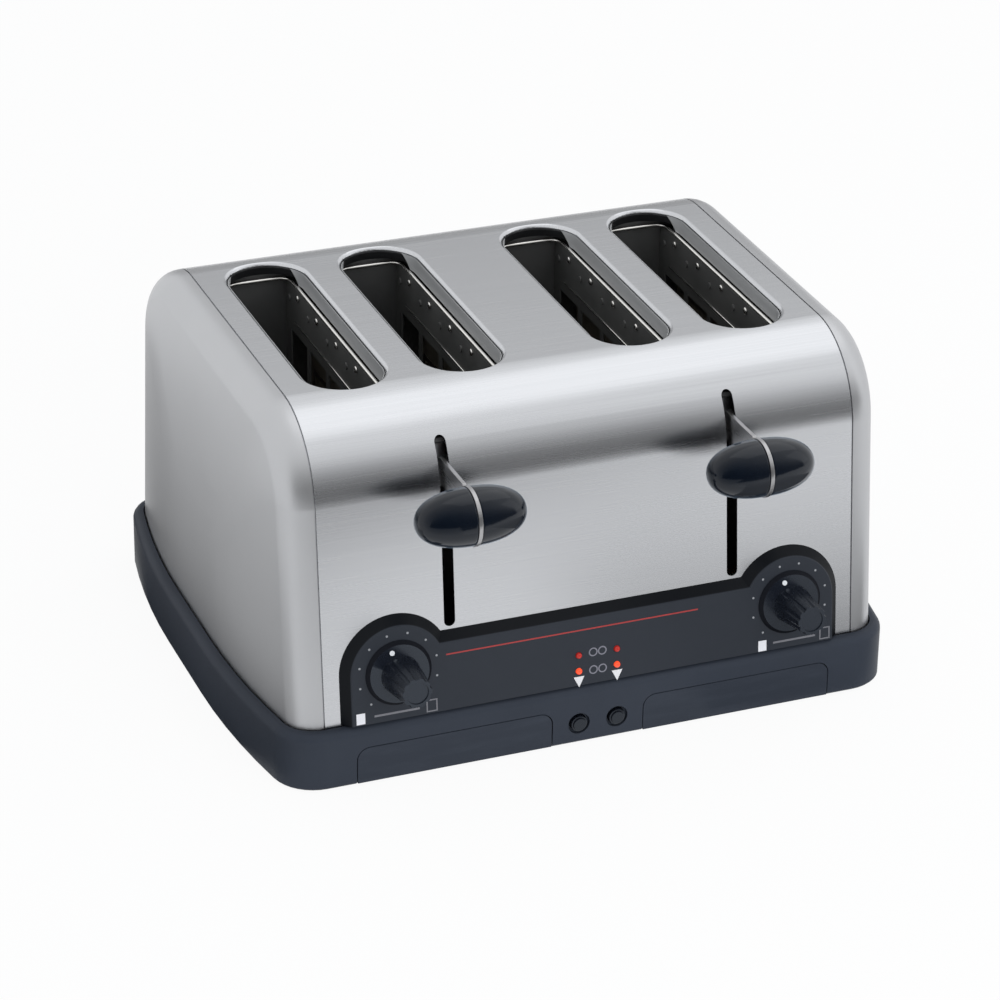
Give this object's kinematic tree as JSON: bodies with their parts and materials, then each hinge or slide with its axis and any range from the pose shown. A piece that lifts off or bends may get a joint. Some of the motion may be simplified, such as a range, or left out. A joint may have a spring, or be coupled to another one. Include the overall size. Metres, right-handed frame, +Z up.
{
  "type": "toaster",
  "caption": "Commercial pop-up toaster with a bent stainless body on a dark base, paired bread wells, side-by-side levers and timer dials, and pull-out crumb trays.",
  "frame": {"origin": "middle of the bounding box in plan, on the table under the feet", "axes": "+X to the toaster's right as seen by the user, +Y to the rear, +Z up; the levers and dials face -Y"},
  "size_m": [0.3244, 0.2908, 0.175],
  "materials": {
    "wrap_steel": "satin brushed stainless sheet",
    "cap_steel": "satin pressed stainless sheet",
    "base_dark": "dark blue-grey satin moulding",
    "tray_dark": "dark blue-grey satin paint",
    "panel_charcoal": "charcoal satin moulding",
    "grip_black": "gloss black moulding",
    "dial_black": "gloss black moulding",
    "button_black": "black moulding",
    "lamp_red": "clear red lens",
    "lever_steel": "bright steel plate",
    "rim_wire": "bright plated wire",
    "guard_steel": "dark heat-tinted steel sheet",
    "zinc_steel": "zinc-plated steel sheet",
    "mica": "pale mica sheet",
    "ribbon_alloy": "dull resistance alloy",
    "copper_coil": "enamelled copper winding",
    "board_green": "green laminate",
    "block_cream": "cream moulding",
    "switch_black": "black moulding",
    "foot_rubber": "black rubber"
  },
  "bodies": {
    "housing": {"base_tray": "base_dark", "rubber_feet": "foot_rubber", "base_screws": "zinc_steel", "wrap_shell": "wrap_steel", "end_cap_left": "cap_steel", "end_cap_right": "cap_steel", "control_panel": "panel_charcoal", "indicator_lights": "lamp_red", "control_board": "board_green", "chassis_front": "zinc_steel", "chassis_rear": "zinc_steel", "centre_divider": "zinc_steel", "side_shield_left": "zinc_steel", "side_shield_right": "zinc_steel", "cord_gland": "switch_black", "terminal_block": "block_cream", "heater_board_left_outer": "mica", "heater_board_left_middle": "mica", "heater_board_left_inner": "mica", "heater_ribbons_left": "ribbon_alloy", "timer_pot_left": "zinc_steel", "guide_rod_left": "lever_steel", "latch_magnet_left": "copper_coil", "mode_switch_left": "switch_black", "heater_board_right_outer": "mica", "heater_board_right_middle": "mica", "heater_board_right_inner": "mica", "heater_ribbons_right": "ribbon_alloy", "timer_pot_right": "zinc_steel", "guide_rod_right": "lever_steel", "latch_magnet_right": "copper_coil", "mode_switch_right": "switch_black", "guards_1": "guard_steel", "guard_frame_1": "rim_wire", "guards_2": "guard_steel", "guard_frame_2": "rim_wire", "guards_3": "guard_steel", "guard_frame_3": "rim_wire", "guards_4": "guard_steel", "guard_frame_4": "rim_wire"},
    "lever_left": {"carriage_left": "zinc_steel", "lever_arm_left": "lever_steel", "lever_grip_left": "grip_black", "latch_keeper_left": "zinc_steel", "return_spring_left": "lever_steel", "lifter_1": "zinc_steel", "lifter_2": "zinc_steel"},
    "dial_left": {"dial_left": "dial_black"},
    "button_left": {"push_button_left": "button_black"},
    "tray_left": {"crumb_tray_left": "tray_dark"},
    "lever_right": {"carriage_right": "zinc_steel", "lever_arm_right": "lever_steel", "lever_grip_right": "grip_black", "latch_keeper_right": "zinc_steel", "return_spring_right": "lever_steel", "lifter_3": "zinc_steel", "lifter_4": "zinc_steel"},
    "dial_right": {"dial_right": "dial_black"},
    "button_right": {"push_button_right": "button_black"},
    "tray_right": {"crumb_tray_right": "tray_dark"}
  },
  "joints": [
    {"name": "lever_left_slide", "type": "slide", "parent": "housing", "child": "lever_left", "axis": [0, 0, 1], "range_m": [-0.062, 0], "stiffness_N_per_m": 200, "springref_m": 0.03, "deforming": ["return_spring_left"]},
    {"name": "dial_left_turn", "type": "hinge", "parent": "housing", "child": "dial_left", "pos_m": [-0.0983, -0.10855, 0.05398], "axis": [0, -0.995, 0.0995], "range_deg": [-155, 115]},
    {"name": "button_left_press", "type": "slide", "parent": "housing", "child": "button_left", "axis": [0, 1, 0], "range_m": [0, 0.0025], "stiffness_N_per_m": 400, "springref_m": -0.002},
    {"name": "tray_left_pull", "type": "slide", "parent": "housing", "child": "tray_left", "axis": [0, -1, 0], "range_m": [0, 0.2]},
    {"name": "lever_right_slide", "type": "slide", "parent": "housing", "child": "lever_right", "axis": [0, 0, 1], "range_m": [-0.062, 0], "stiffness_N_per_m": 200, "springref_m": 0.03, "deforming": ["return_spring_right"]},
    {"name": "dial_right_turn", "type": "hinge", "parent": "housing", "child": "dial_right", "pos_m": [0.0983, -0.10855, 0.05398], "axis": [0, -0.995, 0.0995], "range_deg": [-155, 115]},
    {"name": "button_right_press", "type": "slide", "parent": "housing", "child": "button_right", "axis": [0, 1, 0], "range_m": [0, 0.0025], "stiffness_N_per_m": 400, "springref_m": -0.002},
    {"name": "tray_right_pull", "type": "slide", "parent": "housing", "child": "tray_right", "axis": [0, -1, 0], "range_m": [0, 0.2]}
  ]
}
